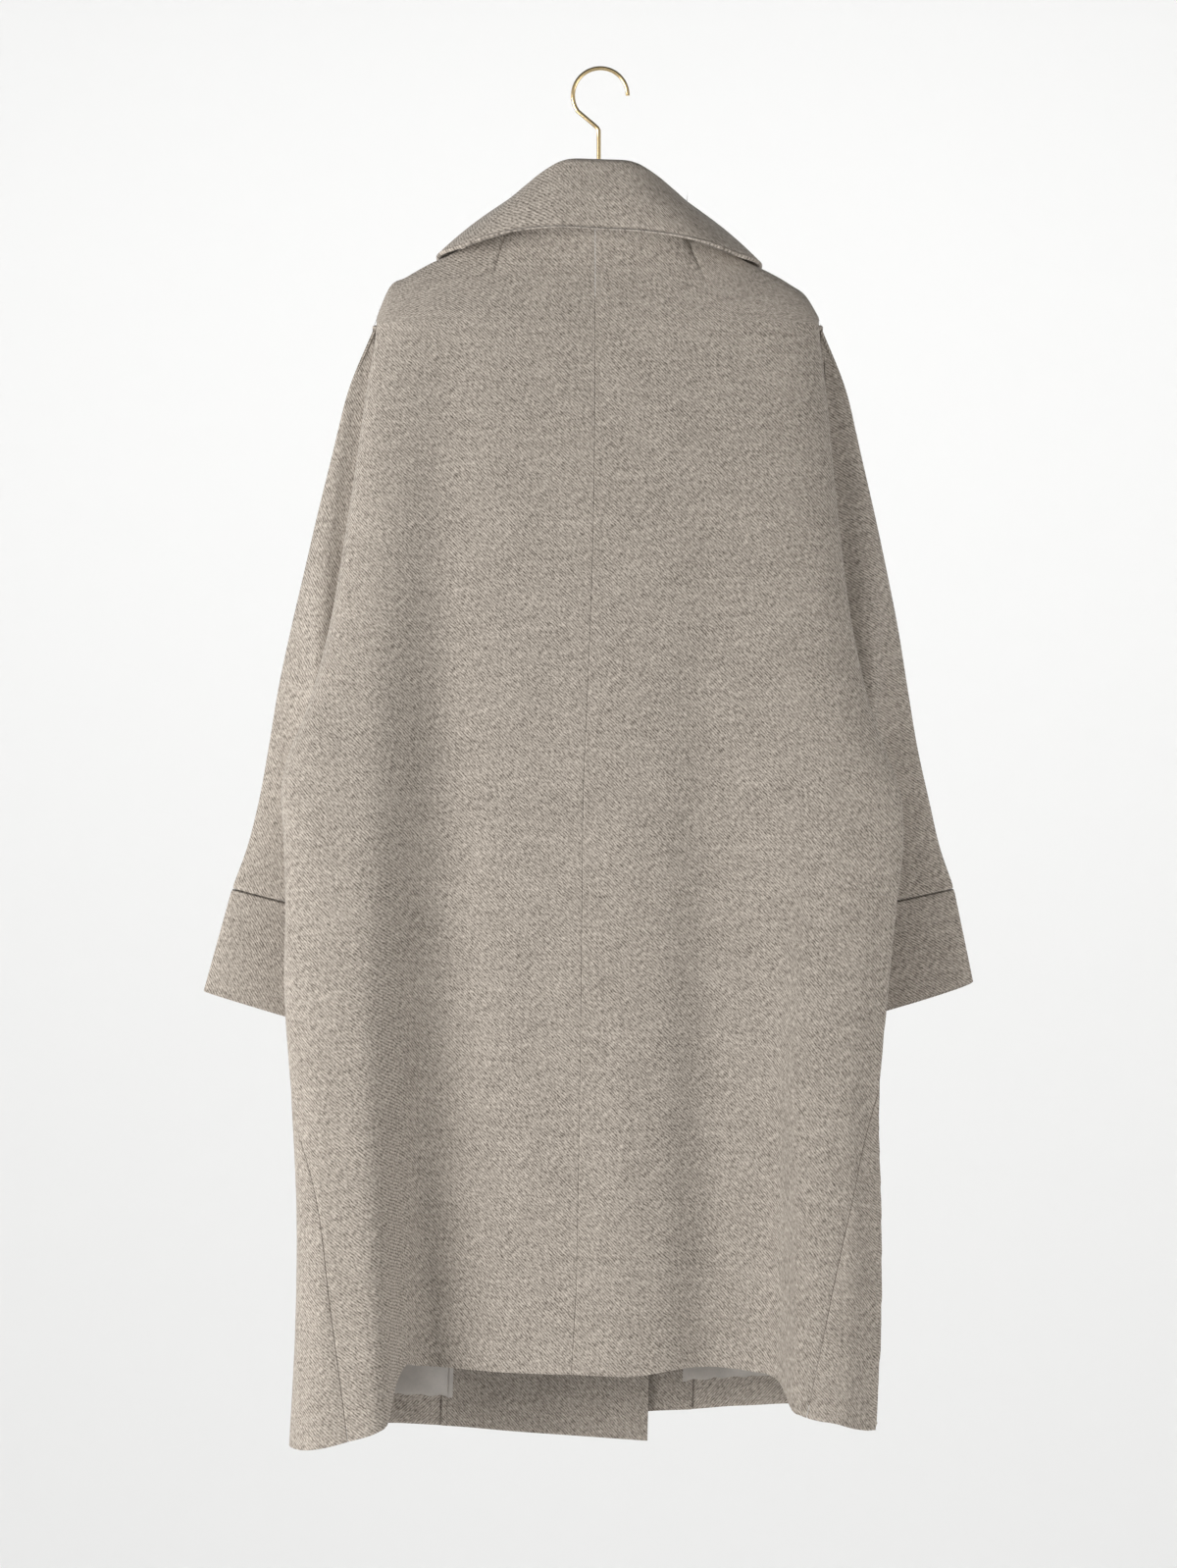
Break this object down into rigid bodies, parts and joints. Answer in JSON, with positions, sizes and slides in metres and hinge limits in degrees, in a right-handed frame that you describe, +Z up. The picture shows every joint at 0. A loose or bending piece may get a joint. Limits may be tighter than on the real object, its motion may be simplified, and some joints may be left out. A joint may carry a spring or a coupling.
{
  "type": "tent coat on a wooden hanger",
  "caption": "Loose tent-shaped coat with a turned-over collar and wide cuffed sleeves, hanging on a slim wooden hanger with a wire hook.",
  "frame": {"origin": "inside top of the hook, where the hanger hangs from a rail", "axes": "+Z up; -Y out of the coat's back, which the picture shows; +Y from the coat's front towards the wall; -X towards the wearer's left"},
  "size_m": [0.755, 0.1675, 1.3382],
  "materials": {
    "wool": "brushed wool twill",
    "facing_wool": "brushed wool twill",
    "lining": "satin",
    "horn_button": "polished horn",
    "beech": "satin varnish",
    "brass": "satin"
  },
  "bodies": {
    "root": {"back_left": "wool", "back_right": "wool", "front_left": "wool", "front_right": "wool", "sleeve_left": "wool", "sleeve_right": "wool", "cuff_left": "wool", "cuff_right": "wool", "collar": "wool", "facing_left": "facing_wool", "facing_right": "facing_wool", "lining_left": "lining", "lining_right": "lining", "button_1": "horn_button", "button_2": "horn_button", "button_3": "horn_button", "button_4": "horn_button", "hanger": "beech", "hook": "brass"}
  },
  "joints": []
}
